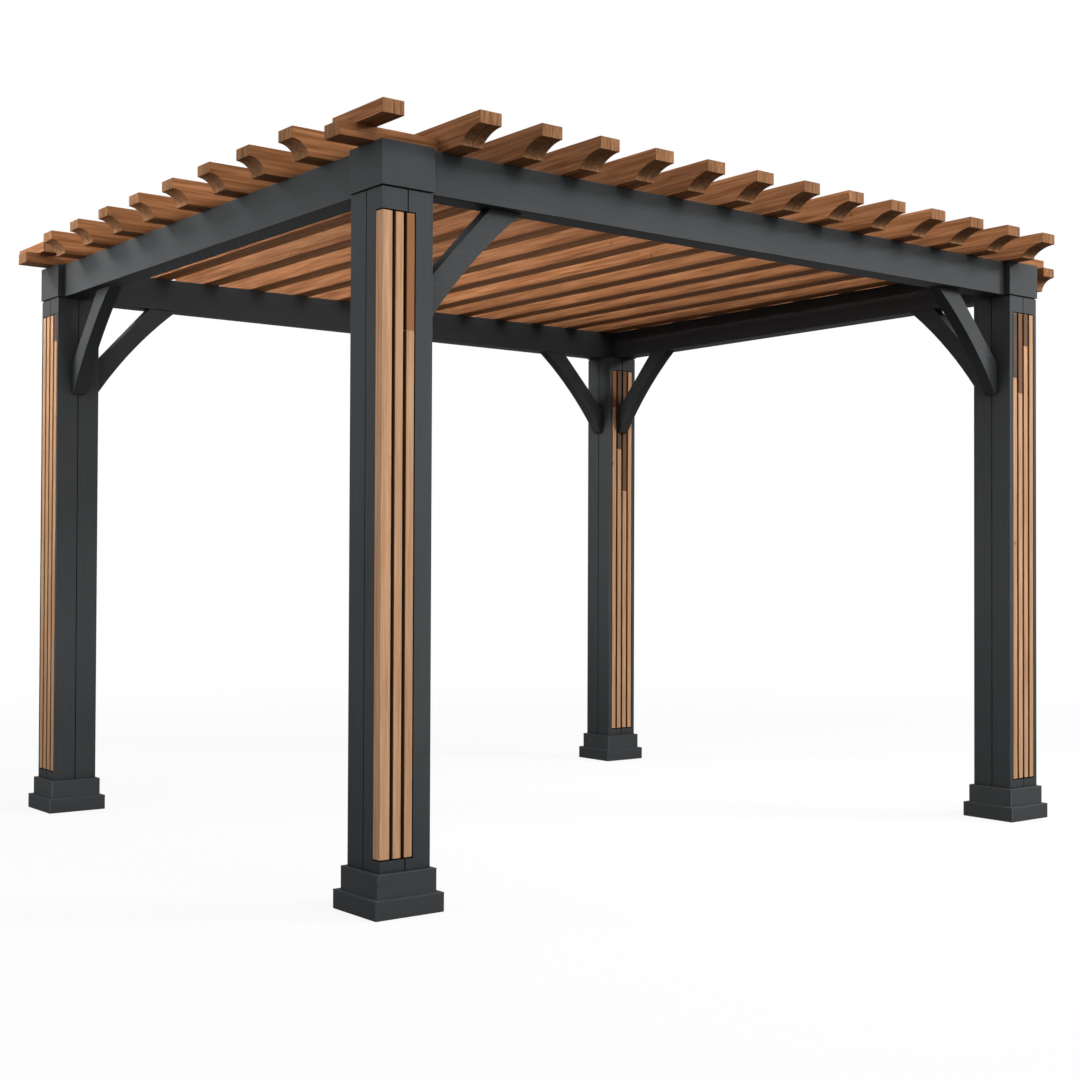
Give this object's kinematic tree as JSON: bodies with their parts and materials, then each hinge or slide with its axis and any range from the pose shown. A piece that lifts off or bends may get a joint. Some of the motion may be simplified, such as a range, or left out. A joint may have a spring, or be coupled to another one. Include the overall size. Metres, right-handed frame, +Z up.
{
  "type": "wooden pergola",
  "caption": "Free-standing open timber pergola with slatted posts on stepped plinths, arched knee braces and a flat roof of coved rafters that shades a sitting place.",
  "frame": {"origin": "on the ground under the middle of the roof", "axes": "+X along the long front from left to right, +Y from front to back, +Z up"},
  "size_m": [3.537, 3.135, 2.439],
  "materials": {
    "charcoal_painted_timber": "satin paint",
    "brown_stained_timber": "stained, planed",
    "tan_slat_timber": "oiled, planed"
  },
  "bodies": {
    "root": {"front_left_post": "charcoal_painted_timber", "front_left_slats": "tan_slat_timber", "front_left_plinth": "charcoal_painted_timber", "front_left_casing": "charcoal_painted_timber", "front_left_brace_along_x": "charcoal_painted_timber", "front_right_post": "charcoal_painted_timber", "front_right_slats": "tan_slat_timber", "front_right_plinth": "charcoal_painted_timber", "front_right_casing": "charcoal_painted_timber", "front_right_brace_along_x": "charcoal_painted_timber", "front_right_brace_along_y": "charcoal_painted_timber", "back_right_post": "charcoal_painted_timber", "back_right_slats": "tan_slat_timber", "back_right_plinth": "charcoal_painted_timber", "back_right_casing": "charcoal_painted_timber", "back_right_brace_along_x": "charcoal_painted_timber", "back_right_brace_along_y": "charcoal_painted_timber", "back_left_post": "charcoal_painted_timber", "back_left_slats": "tan_slat_timber", "back_left_plinth": "charcoal_painted_timber", "back_left_casing": "charcoal_painted_timber", "back_left_brace_along_x": "charcoal_painted_timber", "back_left_brace_along_y": "charcoal_painted_timber", "front_beam": "charcoal_painted_timber", "back_beam": "charcoal_painted_timber", "left_beam": "charcoal_painted_timber", "right_beam": "charcoal_painted_timber", "rafter_01": "brown_stained_timber", "rafter_02": "brown_stained_timber", "rafter_03": "brown_stained_timber", "rafter_04": "brown_stained_timber", "rafter_05": "brown_stained_timber", "rafter_06": "brown_stained_timber", "rafter_07": "brown_stained_timber", "rafter_08": "brown_stained_timber", "rafter_09": "brown_stained_timber", "rafter_10": "brown_stained_timber", "rafter_11": "brown_stained_timber", "rafter_12": "brown_stained_timber", "rafter_13": "brown_stained_timber", "left_side_tails": "brown_stained_timber", "right_side_tails": "brown_stained_timber", "left_corner_stubs": "brown_stained_timber", "right_corner_stubs": "brown_stained_timber"}
  },
  "joints": []
}
